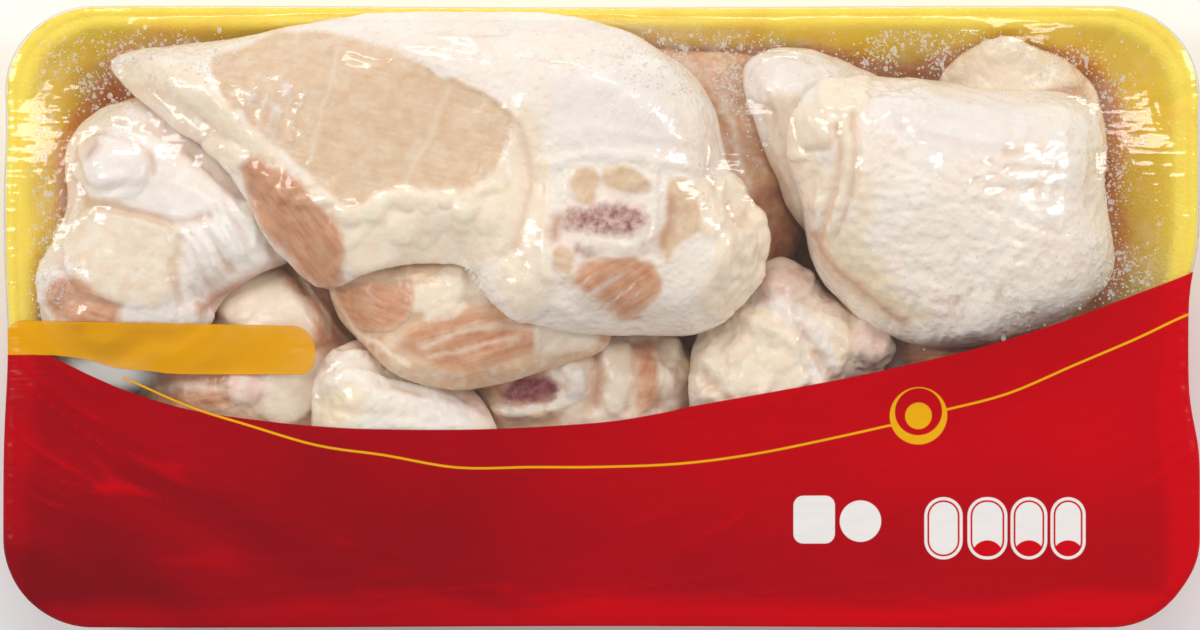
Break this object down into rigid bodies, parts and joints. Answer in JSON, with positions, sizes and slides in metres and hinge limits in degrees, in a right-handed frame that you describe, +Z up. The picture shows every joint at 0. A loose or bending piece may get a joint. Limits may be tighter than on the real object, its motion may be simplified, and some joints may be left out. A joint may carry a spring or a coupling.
{
  "type": "cut-up whole chicken in wrapped tray",
  "caption": "Whole raw chicken cut into pieces and laid in a long foam tray, overwrapped in clear stretch film with a printed field of colour along one side.",
  "frame": {"origin": "middle of the pack's footprint, on its underside", "axes": "+X along the pack's length, +Y across its width away from the printed side, +Z up"},
  "size_m": [0.375, 0.195, 0.0765],
  "materials": {
    "foam": "foamed sheet, thermoformed, satin skin",
    "film": "clear stretch film, partly printed",
    "skin": "raw poultry skin, wet",
    "meat": "raw poultry meat, wet"
  },
  "bodies": {
    "root": {"tray": "foam", "film": "film", "back_tail": "skin", "drumstick_right": "skin", "drumstick_left": "skin", "wing_right": "skin", "wing_left": "skin", "thigh_right": "skin", "breast_top": "skin", "breast_under": "meat", "hip_joint": "meat", "thigh_left": "meat", "back_ribs": "meat"}
  },
  "joints": []
}
